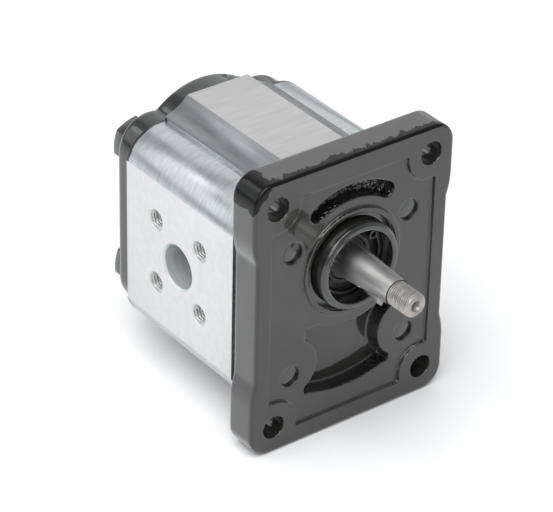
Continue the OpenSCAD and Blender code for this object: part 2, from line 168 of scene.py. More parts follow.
def addWrapped(name, around, along, place):
    # a grid wrapped into a tube; place turns a share of the turn and of the length into a point
    leaveEditMode()
    bpy.ops.object.select_all(action="DESELECT")
    bpy.ops.mesh.primitive_grid_add(x_subdivisions=around, y_subdivisions=along, size=1)
    piece = bpy.context.object
    piece.name = name
    for vertex in piece.data.vertices:
        vertex.co = Vector(place(vertex.co.x + 0.5, vertex.co.y + 0.5)) * mm
    bpy.ops.object.mode_set(mode="EDIT")
    bpy.ops.mesh.select_all(action="SELECT")
    bpy.ops.mesh.remove_doubles(threshold=0.000001)
    bpy.ops.mesh.normals_make_consistent(inside=False)
    bpy.ops.object.mode_set(mode="OBJECT")
    return piece


def copyPiece(piece, shift):
    twin = piece.copy()
    twin.data = piece.data.copy()
    bpy.context.scene.collection.objects.link(twin)
    twin.location = Vector(shift) * mm
    return applyPlace(twin)


def roundEdges(piece, width, segments, wanted):
    # bevels only the edges whose two ends both lie at a wanted place
    makeActive(piece)
    bpy.ops.object.mode_set(mode="EDIT")
    bpy.ops.mesh.select_mode(type="EDGE")
    bpy.ops.mesh.select_all(action="DESELECT")
    bpy.ops.object.mode_set(mode="OBJECT")
    for edge in piece.data.edges:
        edge.select = all(wanted(piece.data.vertices[i].co / mm) for i in edge.vertices)
    bpy.ops.object.mode_set(mode="EDIT")
    bpy.ops.mesh.bevel(offset=width * mm, segments=segments)
    bpy.ops.object.mode_set(mode="OBJECT")
    return piece


def combine(piece, other, operation="DIFFERENCE"):
    makeActive(piece)
    modifier = piece.modifiers.new("combine", "BOOLEAN")
    modifier.operation = operation
    modifier.solver = "MANIFOLD"
    modifier.object = other
    bpy.ops.object.modifier_apply(modifier=modifier.name)
    bpy.data.objects.remove(other)
    return piece


def giveFinishes(piece, *names):
    # drops what the cutting left behind, then adds the finishes in order
    piece.data.materials.clear()
    for name in names:
        piece.data.materials.append(finishes[name])
    for face in piece.data.polygons:
        face.material_index = 0
    return piece


def joinAll(pieces, name):
    makeActive(pieces[0])
    for piece in pieces[1:]:
        piece.select_set(True)
    bpy.ops.object.join()
    pieces[0].name = name
    return pieces[0]


def addModifier(piece, kind, **values):
    makeActive(piece)
    modifier = piece.modifiers.new(kind.lower(), kind)
    for key, value in values.items():
        setattr(modifier, key, value)
    bpy.ops.object.modifier_apply(modifier=modifier.name)
    return piece


def bevelEdges(piece, width, segments=2, angle=30):
    return addModifier(
        piece, "BEVEL", width=width * mm, segments=segments,
        limit_method="ANGLE", angle_limit=math.radians(angle)
    )


def shadeSmooth(piece, angle=35):
    makeActive(piece)
    bpy.ops.object.shade_smooth_by_angle(angle=math.radians(angle))
    return piece


def copyNode(node, name, bevel=0):
    # a merged copy of a CAD node, so that its edges can be softened
    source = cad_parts[node]
    piece = bpy.data.objects.new(name, source.data.copy())
    bpy.context.scene.collection.objects.link(piece)
    piece.data.materials.clear()
    makeActive(piece)
    bpy.ops.object.mode_set(mode="EDIT")
    bpy.ops.mesh.select_all(action="SELECT")
    bpy.ops.mesh.remove_doubles(threshold=0.000002)
    bpy.ops.mesh.dissolve_limited(angle_limit=math.radians(0.5))
    bpy.ops.object.mode_set(mode="OBJECT")
    if bevel:
        bevelEdges(piece, bevel, 2, 40)
    return shadeSmooth(piece)


def finishPiece(piece, body, slot, *nodes):
    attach(piece, body)
    if nodes:
        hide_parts(*nodes)
    print("made", piece.name, len(piece.data.polygons), "faces")
    return piece


def arcPoints(centre, radius, start, end, steps):
    turns = [math.radians(start + (end - start) * i / steps) for i in range(steps + 1)]
    return [(centre[0] + radius * math.cos(t), centre[1] + radius * math.sin(t)) for t in turns]


def mirrorQuarter(quarter, centreZ):
    # the quarter runs from the +X side up to the +Z middle
    upper = quarter + [(-x, z) for x, z in reversed(quarter)]
    both = upper + [(-x, -z) for x, z in upper]
    return [(x, z + centreZ) for x, z in both]


def angleTo(centre, point):
    return math.degrees(math.atan2(point[1] - centre[1], point[0] - centre[0]))


def sagArc(start, end, sag, steps):
    # an arc from start to end that bows to the right of the way by sag
    if sag < 0:
        return list(reversed(sagArc(end, start, -sag, steps)))
    (x0, z0), (x1, z1) = start, end
    half = math.hypot(x1 - x0, z1 - z0) / 2
    radius = (half * half + sag * sag) / (2 * sag)
    across = ((z1 - z0) / (2 * half), (x0 - x1) / (2 * half))
    centre = [(a + b) / 2 - n * (radius - sag) for a, b, n in zip(start, end, across)]
    first, last = angleTo(centre, start), angleTo(centre, end)
    if last - first > 180:
        last -= 360
    if first - last > 180:
        last += 360
    return arcPoints(centre, radius, first, last, steps)




def newMaterial(name, color, roughness, metallic=0.0, **sockets):
    material = bpy.data.materials.new(name)
    material.use_nodes = True
    shader = material.node_tree.nodes["Principled BSDF"]
    shader.inputs["Base Color"].default_value = (*color, 1)
    shader.inputs["Roughness"].default_value = roughness
    shader.inputs["Metallic"].default_value = metallic
    for key, value in sockets.items():
        shader.inputs[key.replace("_", " ")].default_value = value
    return material, material.node_tree, shader


def addNode(tree, kind, **values):
    node = tree.nodes.new(kind)
    for key, value in values.items():
        if key in node.inputs:
            node.inputs[key].default_value = value
        else:
            setattr(node, key, value)
    return node


def buildGrain():
    # stretched noise: a mask, a normal and a slow cloud, from one place in object space
    tree = bpy.data.node_groups.new("surfaceGrain", "ShaderNodeTree")
    wanted = (("Stretch", "NodeSocketVector"), ("Fine", "NodeSocketFloat"), ("Depth", "NodeSocketFloat"),
              ("Coarse", "NodeSocketFloat"), ("Swell", "NodeSocketFloat"))
    for name, kind in wanted:
        tree.interface.new_socket(name=name, in_out="INPUT", socket_type=kind)
    for name, kind in (("Mask", "NodeSocketFloat"), ("Cloud", "NodeSocketFloat"), ("Normal",
            "NodeSocketVector")):
        tree.interface.new_socket(name=name, in_out="OUTPUT", socket_type=kind)
    entry, out = tree.nodes.new("NodeGroupInput"), tree.nodes.new("NodeGroupOutput")
    place = tree.nodes.new("ShaderNodeTexCoord")
    stretch = addNode(tree, "ShaderNodeVectorMath", operation="MULTIPLY")
    fine = addNode(tree, "ShaderNodeTexNoise", Detail=4.0, Roughness=0.55)
    coarse = addNode(tree, "ShaderNodeTexNoise", Detail=2.0)
    fineBump = addNode(tree, "ShaderNodeBump", Distance=mm)
    coarseBump = addNode(tree, "ShaderNodeBump", Distance=mm)
    link = tree.links.new
    link(place.outputs["Object"], stretch.inputs[0])
    link(entry.outputs["Stretch"], stretch.inputs[1])
    link(stretch.outputs[0], fine.inputs["Vector"])
    link(entry.outputs["Fine"], fine.inputs["Scale"])
    link(place.outputs["Object"], coarse.inputs["Vector"])
    link(entry.outputs["Coarse"], coarse.inputs["Scale"])
    link(coarse.outputs["Fac"], coarseBump.inputs["Height"])
    link(entry.outputs["Swell"], coarseBump.inputs["Strength"])
    link(fine.outputs["Fac"], fineBump.inputs["Height"])
    link(entry.outputs["Depth"], fineBump.inputs["Strength"])
    link(coarseBump.outputs["Normal"], fineBump.inputs["Normal"])
    link(fine.outputs["Fac"], out.inputs["Mask"])
    link(coarse.outputs["Fac"], out.inputs["Cloud"])
    link(fineBump.outputs["Normal"], out.inputs["Normal"])
    return tree


grainGroup = buildGrain()


def mathNode(tree, operation, first, second=0.0):
    node = addNode(tree, "ShaderNodeMath", operation=operation)
    for socket, value in zip(node.inputs, (first, second)):
        if isinstance(value, (int, float)):
            socket.default_value = value
        else:
            tree.links.new(value, socket)
    return node.outputs[0]


def buildLapAndReflectionMask():
    # a jagged mask beyond a plane, used both for real paint lapped over an edge and for painted dark
    # reflection: 1 where the place, shaken by noise, is past the limit
    tree = bpy.data.node_groups.new("paintLapAndPaintedReflection", "ShaderNodeTree")
    wanted = (("Direction", "NodeSocketVector"), ("Limit", "NodeSocketFloat"), ("Shake", "NodeSocketFloat"),
              ("Stretch", "NodeSocketVector"), ("Scale", "NodeSocketFloat"))
    for name, kind in wanted:
        tree.interface.new_socket(name=name, in_out="INPUT", socket_type=kind)
    tree.interface.new_socket(name="Mask", in_out="OUTPUT", socket_type="NodeSocketFloat")
    entry, out = tree.nodes.new("NodeGroupInput"), tree.nodes.new("NodeGroupOutput")
    place = tree.nodes.new("ShaderNodeTexCoord")
    along = addNode(tree, "ShaderNodeVectorMath", operation="DOT_PRODUCT")
    stretch = addNode(tree, "ShaderNodeVectorMath", operation="MULTIPLY")
    shaken = addNode(tree, "ShaderNodeTexNoise", Detail=3.0)
    link = tree.links.new
    link(place.outputs["Object"], along.inputs[0])
    link(entry.outputs["Direction"], along.inputs[1])
    link(place.outputs["Object"], stretch.inputs[0])
    link(entry.outputs["Stretch"], stretch.inputs[1])
    link(stretch.outputs[0], shaken.inputs["Vector"])
    link(entry.outputs["Scale"], shaken.inputs["Scale"])
    centred = mathNode(tree, "SUBTRACT", shaken.outputs["Fac"], 0.5)
    shift = mathNode(tree, "MULTIPLY", centred, entry.outputs["Shake"])
    total = mathNode(tree, "ADD", along.outputs["Value"], shift)
    past = mathNode(tree, "SUBTRACT", total, entry.outputs["Limit"])
    sharp = addNode(tree, "ShaderNodeMapRange")
    sharp.inputs["From Min"].default_value = -0.00008
    sharp.inputs["From Max"].default_value = 0.00008
    link(past, sharp.inputs["Value"])
    link(sharp.outputs["Result"], out.inputs["Mask"])
    return tree


lapAndReflectionGroup = buildLapAndReflectionMask()


def addLapAndReflectionMask(tree, direction, limit, shake, stretch=(1, 1, 1), scale=300.0):
    jaggedMask = addNode(tree, "ShaderNodeGroup", node_tree=lapAndReflectionGroup)
    jaggedMask.inputs["Direction"].default_value = direction
    jaggedMask.inputs["Stretch"].default_value = stretch
    for key, value in (("Limit", limit * mm), ("Shake", shake * mm), ("Scale", scale)):
        jaggedMask.inputs[key].default_value = value
    return jaggedMask.outputs["Mask"]


def addGrain(tree, shader, stretch, fine, depth, coarse, swell):
    grain = addNode(tree, "ShaderNodeGroup", node_tree=grainGroup)
    grain.inputs["Stretch"].default_value = stretch
    for key, value in (("Fine", fine), ("Depth", depth), ("Coarse", coarse), ("Swell", swell)):
        grain.inputs[key].default_value = value
    tree.links.new(grain.outputs["Normal"], shader.inputs["Normal"])
    return grain


def blendBy(tree, mask, low, high, socket, dark, light):
    # maps a mask to a range and puts it on a colour or value socket
    span = addNode(tree, "ShaderNodeMapRange")
    span.inputs["From Min"].default_value = low
    span.inputs["From Max"].default_value = high
    tree.links.new(mask, span.inputs["Value"])
    if isinstance(dark, float):
        span.inputs["To Min"].default_value = dark
        span.inputs["To Max"].default_value = light
        tree.links.new(span.outputs["Result"], socket)
        return span
    mix = addNode(tree, "ShaderNodeMix", data_type="RGBA")
    mix.inputs[6].default_value = (*dark, 1)
    mix.inputs[7].default_value = (*light, 1)
    tree.links.new(span.outputs["Result"], mix.inputs["Factor"])
    tree.links.new(mix.outputs[2], socket)
    return mix


def makePaint(name, color, light, roughness, depth, fine=900.0, coat=1.0, swell=0.25):
    material, tree, shader = newMaterial(name, color, roughness, Coat_Weight=coat, Coat_Roughness=0.06)
    grain = addGrain(tree, shader, (1, 1, 1), fine, depth, 160.0, swell)
    blendBy(tree, grain.outputs["Cloud"], 0.35, 0.65, shader.inputs["Base Color"], color, light)
    blendBy(tree, grain.outputs["Mask"], 0.3, 0.7, shader.inputs["Roughness"], roughness * 0.85,
            roughness * 1.2)
    return material


def makeMetal(name, dark, light, roughness, stretch, fine, depth, swell=0.1, metallic=1.0):
    material, tree, shader = newMaterial(name, light, roughness, metallic)
    grain = addGrain(tree, shader, stretch, fine, depth, 45.0, swell)
    blendBy(tree, grain.outputs["Mask"], 0.3, 0.7, shader.inputs["Base Color"], dark, light)
    blendBy(tree, grain.outputs["Cloud"], 0.35, 0.65, shader.inputs["Roughness"], roughness * 0.85,
            roughness * 1.2)
    return material


finishes = {
    "glossPaint": makePaint("glossPaint", (0.009, 0.010, 0.008), (0.013, 0.014, 0.011), 0.2, 0.0,
            500.0, 1.0, 0.05),
    "coverPaint": makePaint("coverPaint", (0.006, 0.008, 0.006), (0.009, 0.011, 0.008), 0.22, 0.0,
            500.0, 0.5, 0.05),
    # darker paint for the slot and pocket walls: a pitted casting, and painted shade in the hollows
    "pittedPaintAndShade": makePaint("pittedPaintAndShade", (0.004, 0.004, 0.004), (0.010, 0.010, 0.009), 0.2, 0.25, 900.0),
    # the same as-extruded skin as the lobes, in a darker copy that is painted shade on the concave flanks
    "flankSkinPaintedShade": makeMetal("flankSkinPaintedShade", (0.24, 0.26, 0.27), (0.29, 0.31, 0.32), 0.34, (1, 0.06, 1),
            700.0, 0.04),
    "milledPort": makeMetal("milledPort", (0.60, 0.60, 0.60), (0.65, 0.65, 0.65), 0.5, (1, 1, 1),
            350.0, 0.02, 0.05, 0.35),
    "milledPad": makeMetal("milledPad", (0.45, 0.45, 0.44), (0.51, 0.51, 0.50), 0.45, (0.1, 1, 1),
            500.0, 0.02, 0.05, 0.6),
    "boredWall": makeMetal("boredWall", (0.46, 0.50, 0.50), (0.66, 0.70, 0.70), 0.4, (1, 0.1, 0.1),
            500.0, 0.06, 0.1, 0.45),
    "tappedWall": makeMetal("tappedWall", (0.40, 0.41, 0.40), (0.60, 0.60, 0.59), 0.35, (1, 1, 1),
            600.0, 0.04, 0.1, 0.7),
    "groundSteel": makeMetal("groundSteel", (0.72, 0.72, 0.70), (0.84, 0.84, 0.82), 0.38, (0.02, 1,
            0.02), 1400.0, 0.03, 0.0),
    "cutThread": makeMetal("cutThread", (0.30, 0.275, 0.25), (0.50, 0.465, 0.43), 0.4, (0.3, 1,
            0.3), 900.0, 0.06, 0.1, 0.7),
    # near-black steel for the centre drill's wall: painted shade inside the hole
    "drilledWallPaintedShade": makeMetal("drilledWallPaintedShade", (0.05, 0.045, 0.04), (0.14, 0.13, 0.12), 0.25, (1, 1,
            1), 900.0, 0.05),
    "drawnKey": makeMetal("drawnKey", (0.24, 0.24, 0.23), (0.38, 0.38, 0.37), 0.32, (1, 0.1, 1),
            700.0, 0.05),
    "blackSteel": makeMetal("blackSteel", (0.05, 0.052, 0.05), (0.11, 0.11, 0.105), 0.25, (1, 1, 1),
            600.0, 0.04),
    "sealRubber": makePaint("sealRubber", (0.006, 0.006, 0.006), (0.012, 0.012, 0.011), 0.4, 0.02,
            900.0, 0.0),
    "bearingAlloy": makeMetal("bearingAlloy", (0.50, 0.51, 0.52), (0.62, 0.63, 0.64), 0.35, (1, 1,
            1), 500.0, 0.05),
    "bushLining": makeMetal("bushLining", (0.30, 0.24, 0.16), (0.42, 0.34, 0.23), 0.4, (1, 1, 1),
            500.0, 0.05),
    "backupPlastic": makePaint("backupPlastic", (0.62, 0.60, 0.52), (0.70, 0.68, 0.60), 0.5, 0.02,
            900.0, 0.0),
}


def makeFlangePaint():
    color, light, black = (0.016, 0.017, 0.013), (0.023, 0.024, 0.019), (0.002, 0.002, 0.002)
    material, tree, shader = newMaterial("flangePaint", color, 0.2, Specular_IOR_Level=0.25,
            Coat_Roughness=0.05)
    grain = addGrain(tree, shader, (1, 1, 1), 500.0, 0.0, 160.0, 0.05)
    # painted reflection: the top front arris and the top-left corner turn black and lose their coat,
    # standing in for the dark room they mirror
    onTop = addLapAndReflectionMask(tree, (0, 0, 1), 45.4, 0.0)
    nearFront = addLapAndReflectionMask(tree, (0, -1, 0), -3.4, 7.5, (1, 0.4, 1), 420.0)
    onCorner = addLapAndReflectionMask(tree, (-0.76, 0, 0.65), 58.6, 5.0, (1, 1, 1), 380.0)
    topDarkReflection = mathNode(tree, "MULTIPLY", onTop, nearFront)
    darkReflection = mathNode(tree, "MAXIMUM", topDarkReflection, onCorner)
    tone = blendBy(tree, grain.outputs["Cloud"], 0.35, 0.65, shader.inputs["Base Color"], color, light)
    blackened = addNode(tree, "ShaderNodeMix", data_type="RGBA")
    tree.links.new(darkReflection, blackened.inputs["Factor"])
    tree.links.new(tone.outputs[2], blackened.inputs[6])
    blackened.inputs[7].default_value = (*black, 1)
    tree.links.new(blackened.outputs[2], shader.inputs["Base Color"])
    tree.links.new(mathNode(tree, "SUBTRACT", 1.0, darkReflection), shader.inputs["Coat Weight"])
    return material


def makeLobeSkin():
    # the extruded skin, with the cover's paint lapped over its rear end
    dark, light = (0.42, 0.46, 0.475), (0.54, 0.575, 0.59)
    material, tree, shader = newMaterial("lobeSkin", light, 0.3, 1.0)
    grain = addGrain(tree, shader, (0.25, 1, 0.25), 700.0, 0.04, 45.0, 0.1)
    lapped = addLapAndReflectionMask(tree, (0, 1, 0), bodyHigh.y - 1.5, 1.6, (1, 0.5, 1), 500.0)
    tone = blendBy(tree, grain.outputs["Mask"], 0.3, 0.7, shader.inputs["Base Color"], dark, light)
    blackened = addNode(tree, "ShaderNodeMix", data_type="RGBA")
    tree.links.new(lapped, blackened.inputs["Factor"])
    tree.links.new(tone.outputs[2], blackened.inputs[6])
    blackened.inputs[7].default_value = (0.004, 0.004, 0.004, 1)
    tree.links.new(blackened.outputs[2], shader.inputs["Base Color"])
    tree.links.new(mathNode(tree, "SUBTRACT", 1.0, lapped), shader.inputs["Metallic"])
    blendBy(tree, grain.outputs["Cloud"], 0.35, 0.65, shader.inputs["Roughness"], 0.25, 0.36)
    return material


finishes["flangePaint"] = makeFlangePaint()
finishes["extruded"] = makeLobeSkin()
print("finishes made:", len(finishes))


view = {"aim": (-22.3, 18.2, 1.3), "turn": (57.855, -1.149, -36.811), "distance": 1100, "lens": 191.6}
cameraData = bpy.data.cameras.new("camera")
cameraData.lens = view["lens"]
cameraData.sensor_width = 36
cameraData.clip_start = 0.01
cameraData.dof.use_dof = False
camera = bpy.data.objects.new("camera", cameraData)
bpy.context.scene.collection.objects.link(camera)
camera.rotation_euler = [math.radians(a) for a in view["turn"]]
back = camera.rotation_euler.to_matrix() @ Vector((0, 0, 1))
camera.location = (Vector(view["aim"]) + back * view["distance"]) * mm
bpy.context.scene.camera = camera

floorZ = cadBounds[0].z
bpy.ops.object.select_all(action="DESELECT")
bpy.ops.mesh.primitive_plane_add(size=8, location=(0, 0, floorZ))
floor = bpy.context.object
floor.name = "floor"
floorMaterial = newMaterial("paleFloor", (0.93, 0.93, 0.935), 0.8)[0]
floor.data.materials.append(floorMaterial)

world = bpy.data.worlds.new("studio")
world.use_nodes = True
world.node_tree.nodes["Background"].inputs["Color"].default_value = (0.93, 0.96, 1.0, 1)
world.node_tree.nodes["Background"].inputs["Strength"].default_value = 0.5
bpy.context.scene.world = world
bpy.context.scene.view_settings.view_transform = "Standard"


def addSoftbox(name, direction, distance, size, power, color=(1, 1, 1)):
    data = bpy.data.lights.new(name, "AREA")
    data.shape = "RECTANGLE"
    data.size, data.size_y = size
    data.energy = power
    data.color = color
    lamp = bpy.data.objects.new(name, data)
    bpy.context.scene.collection.objects.link(lamp)
    towards = Vector(direction).normalized()
    lamp.location = towards * distance
    lamp.rotation_euler = towards.to_track_quat("Z", "Y").to_euler()
    return lamp


addSoftbox("overheadSoftbox", (-0.38, -0.15, 0.9), 1.3, (1.2, 1.2), 16)
addSoftbox("rightBackdrop", (0.516, 0.671, 0.532), 1.5, (1.7, 1.2), 4.0, (1, 0.99, 0.97))
addSoftbox("leftBackdrop", (-0.66, 0.66, 0.36), 1.5, (1.3, 0.7), 2.9, (0.97, 0.99, 1))
addSoftbox("shaftStrip", (-0.39, 0.67, 0.63), 1.5, (0.3, 0.4), 0.9)
addSoftbox("leftFill", (-0.7, -0.7, 0.55), 1.7, (0.8, 0.8), 4)
print("stage set")


flangeValues = {
    "cornerRadius": 9, "waist": 1.7, "shoulder": 27, "shoulderRun": 10, "thickness": 14, "neckInset": 1.4,
    "relief": 1.5, "panelHalfWidth": 38.2, "panelTop": 36.8, "panelBottom": -64.4, "bossRadius": 10.8,
    "holeX": 35.7, "holeZ": 48.1, "holeRadius": 4.7, "boltMarkRadius": 4.3,
    "arris": 1.1, "voxel": 0.42, "soften": 4, "keep": 0.42,
    "pocketFoot": -53, "pocketFootHalf": 18, "pocketSag": 3, "pocketHalf": 20.4, "pocketTop": -23.7,
    "pocketEnd": 8.2, "pocketTopRadius": 27.7, "pocketSideRadius": 12.8, "pocketSideUp": 2.9,
}
bodyValues = {
    "boltX": 27.3, "boltZ": 27.3, "lobeRadius": 16, "padHalfWidth": 14.4, "valleyX": 24.8, "valleyDrop": 6.3,
    "flankSag": 1.1, "portY": 53.5, "portRadius": 9, "portEnd": 18, "throatRadius": 7.5, "threadCircle": 40,
    "threadDepth": 14, "cavityRadius": 17.25, "boltHole": 5.25, "axisGap": 29.5,
}
spigotValues = {"radius": 18.25, "bore": 15.2, "chamfer": 1.0, "grooveRadius": 20.4,
        "grooveDepth": 2.6, "ringRadius": 22.6}


def bodyQuarter(inset):
    v = bodyValues
    side = bodyHigh.x - inset
    top = (bodyHigh.z - bodyLow.z) / 2 - inset
    centre, radius = (v["boltX"], v["boltZ"]), v["lobeRadius"] - inset
    low = math.degrees(math.acos((side - centre[0]) / radius))
    high = math.degrees(math.acos((v["valleyX"] - centre[0]) / radius))
    lobe = arcPoints(centre, radius, low, high, 24)
    flank = sagArc((v["valleyX"], top - v["valleyDrop"]), (v["padHalfWidth"], top), -v["flankSag"], 8)
    return lobe + flank


def flangePlate():
    v = flangeValues
    halfW, halfH = flangeHigh.x, (flangeHigh.z - flangeLow.z) / 2
    # the waist leaves the ears in a gentle bow and meets its straight in a crease
    shares = [i / 8 for i in range(9)]
    curve = [(halfW - v["waist"] * (1 - share) ** 2,
            v["shoulder"] + v["shoulderRun"] * share) for share in shares]
    corner = arcPoints((halfW - v["cornerRadius"], halfH - v["cornerRadius"]), v["cornerRadius"], 0, 90, 14)
    centreZ = (flangeHigh.z + flangeLow.z) / 2
    return mirrorQuarter(curve + corner, centreZ)


def makeFlange():
    v, s = flangeValues, spigotValues
    plate = addOutline("flangeCasting", flangePlate(), 0, v["thickness"])
    roundEdges(plate, v["arris"], 3, lambda place: place.y < 0.1 or place.y > v["thickness"] - 0.1)
    neck = addOutline("neck", mirrorQuarter(bodyQuarter(v["neckInset"]), middleZ),
            v["thickness"] - 1, bodyLow.y)
    combine(plate, neck, "UNION")
    # the middle of the face is relieved, but for four bosses and the spigot's ring
    centreZ = (flangeHigh.z + flangeLow.z) / 2
    relief = addBlock((-v["panelHalfWidth"], -5, v["panelBottom"]), (v["panelHalfWidth"],
            v["relief"], v["panelTop"]))
    for sideX in (-1, 1):
        for sideZ in (-1, 1):
            x, z = sideX * v["holeX"], centreZ + sideZ * v["holeZ"]
            combine(relief, addRod(v["bossRadius"], v["bossRadius"], -6, 5, x, z))
    combine(relief, addRod(s["ringRadius"], s["ringRadius"], -6, 5))
    combine(plate, relief)
    # curved slot
    slot = addLathe("slot", [(26.8, -2), (33.2, -2), (33.2, 7.5), (26.8, 7.5)])
    wedge = addOutline("wedge", [(0, 0), (-44, 67.8), (44, 67.8)], -3, 9)
    combine(slot, wedge, "INTERSECT")
    for sideX in (-1, 1):
        turn = math.radians(33)
        combine(slot, addRod(3.2, 3.2, -2, 7.5, sideX * 30 * math.sin(turn), 30 * math.cos(turn)), "UNION")
    combine(plate, slot)
    # bell-shaped pocket
    half, low, top = v["pocketHalf"], v["pocketFoot"], v["pocketTop"]
    foot = sagArc((-v["pocketFootHalf"], low), (v["pocketFootHalf"], low), v["pocketSag"], 16)
    corners = [(half, low), (half, top), (-half, top), (-half, low)]
    pocket = addOutline("pocket", foot + corners, -2, v["pocketEnd"])
    combine(pocket, addRod(v["pocketTopRadius"], v["pocketTopRadius"], -3, 12))
    bossZ = middleZ - bodyValues["boltZ"] + v["pocketSideUp"]
    for sideX in (-1, 1):
        side = addRod(v["pocketSideRadius"], v["pocketSideRadius"], -3, 12,
                sideX * bodyValues["boltX"], bossZ)
        combine(pocket, side)
    combine(plate, pocket)
    # holes, and the painted-over ends of the through bolts
    cutters = []
    for sideX in (-1, 1):
        for sideZ in (-1, 1):
            x, z = sideX * v["holeX"], centreZ + sideZ * v["holeZ"]
            cutters.append(addRod(v["holeRadius"], v["holeRadius"], -3, 20, x, z))
            x, z = sideX * bodyValues["boltX"], middleZ + sideZ * bodyValues["boltZ"]
            cutters.append(addRod(v["boltMarkRadius"], v["boltMarkRadius"], -3, 4, x, z))
            cutters.append(addRod(5, 5, 3.4, 20, x, z))
    for cutter in cutters:
        combine(plate, cutter)
    combine(plate, addRod(s["grooveRadius"], s["grooveRadius"], -8, 20))
    return plate


def softenCasting(piece, voxel, rounds, keep, rough=None):
    # remeshed, so that every edge takes the round of thick paint
    addModifier(piece, "REMESH", mode="VOXEL", voxel_size=voxel * mm, use_smooth_shade=True)
    addModifier(piece, "SMOOTH", factor=0.5, iterations=rounds)
    if rough:
        for vertex in piece.data.vertices:
            depth = rough(vertex.co / mm)
            if depth:
                vertex.co += noise.noise_vector(vertex.co * 1100) * depth * mm
    addModifier(piece, "DECIMATE", ratio=keep)
    return piece


def insideHollows(place):
    # how rough the casting is: in the slot, and on the walls of the pocket
    if place.y < 2.2 or place.y > 11.5:
        return 0
    fromAxis = math.hypot(place.x, place.z)
    if 26 < fromAxis < 34 and place.z > 20:
        return 0.5
    if place.y < 7.5 and abs(place.x) < 21 and -56.8 < place.z < -23 and fromAxis > 27.4:
        return 0.3
    return 0


flange = softenCasting(makeFlange(), flangeValues["voxel"], flangeValues["soften"],
        flangeValues["keep"], insideHollows)
print("flange casting remeshed:", len(flange.data.polygons))
giveFinishes(flange, "flangePaint", "pittedPaintAndShade")
# faces in the slot and on the pocket walls take the darker paint, which is painted shade in the hollows
for face in flange.data.polygons:
    if insideHollows(face.center / mm):
        face.material_index = 1


def makeSpigot():
    s = spigotValues
    front = flangeLow.y
    profile = [
        (s["bore"], front + 0.3), (s["bore"] + 0.3, front), (s["radius"] - s["chamfer"], front),
        (s["radius"], front + s["chamfer"]), (s["radius"], s["grooveDepth"]),
        (s["grooveRadius"] - 0.2, s["grooveDepth"]), (s["grooveRadius"] + 0.3, s["grooveDepth"] + 0.3),
        (s["grooveRadius"] + 0.3, bodyLow.y), (9.4, bodyLow.y), (9.4, 10.2), (s["bore"], 10.2),
        (s["bore"], 2.95), (16.3, 2.95), (16.3, 1.65), (s["bore"], 1.65),
    ]
    spigot = addLathe("spigot", profile, 160)
    bevelEdges(spigot, 0.22, 2, 25)
    return giveFinishes(spigot, "glossPaint")


spigot = makeSpigot()
flange = joinAll([flange, spigot], "flangeCasting")
shadeSmooth(flange, 40)
finishPiece(flange, "housing", "black_casting", "front_flange")


def makeBody():
    v = bodyValues
    body = addOutline("extrudedBody", mirrorQuarter(bodyQuarter(0), middleZ), bodyLow.y, bodyHigh.y)
    bevelEdges(body, 0.35, 2, 60)
    face = bodyHigh.x
    half = v["threadCircle"] / 2 / math.sqrt(2)
    cuts = []
    for z in (0, -v["axisGap"]):
        cuts.append(addRod(v["cavityRadius"], v["cavityRadius"], bodyLow.y - 2, bodyHigh.y + 2, 0, z))
    for side in (-1, 1):
        for sideZ in (-1, 1):
            x, z = side * v["boltX"], middleZ + sideZ * v["boltZ"]
            cuts.append(addRod(v["boltHole"], v["boltHole"], bodyLow.y - 2, bodyHigh.y + 2, x, z, 64))
        cuts.append(addSideRod(v["throatRadius"], v["throatRadius"], 8, face, v["portY"], middleZ, side))
        cuts.append(addSideRod(v["portRadius"], v["portRadius"], v["portEnd"], face + 2, v["portY"],
                middleZ, side, 128))
        wide = v["portRadius"]
        cuts.append(addSideRod(wide, wide + 1.6, face - 0.8, face + 0.8, v["portY"], middleZ, side, 128))
        for sideY in (-1, 1):
            for sideZ in (-1, 1):
                y, z = v["portY"] + sideY * half, middleZ + sideZ * half
                cuts.append(addSideRod(4.05, 4.05, face - v["threadDepth"], face + 2, y, z, side, 64))
                cuts.append(addSideRod(4.05, 5.25, face - 0.6, face + 0.6, y, z, side, 64))
    for cut in cuts:
        combine(body, cut)
    return body


body = makeBody()
giveFinishes(body, "extruded", "milledPort", "milledPad", "boredWall", "flankSkinPaintedShade")
padHalf = (bodyHigh.z - bodyLow.z) / 2
for face in body.data.polygons:
    place, normal = face.center / mm, face.normal
    if abs(normal.x) > 0.99 and abs(place.x) > bodyHigh.x - 0.1:
        face.material_index = 1
    elif abs(normal.z) > 0.99 and abs(place.z - middleZ) > padHalf - 0.1:
        face.material_index = 2
    elif abs(place.y - bodyValues["portY"]) < 22 and abs(place.z - middleZ) < 22:
        face.material_index = 3
    # flank faces take the darker copy of the skin: painted shade
    elif abs(place.z - middleZ) > 44.2 and abs(place.x) < 24.9:
        face.material_index = 4
shadeSmooth(body, 30)
finishPiece(body, "housing", "extruded_body", "pump_body")

threadValues = {"crest": 3.35, "root": 4.0, "pitch": 1.25, "start": 29.4, "end": 42.0, "around": 48,
        "perTurn": 6}


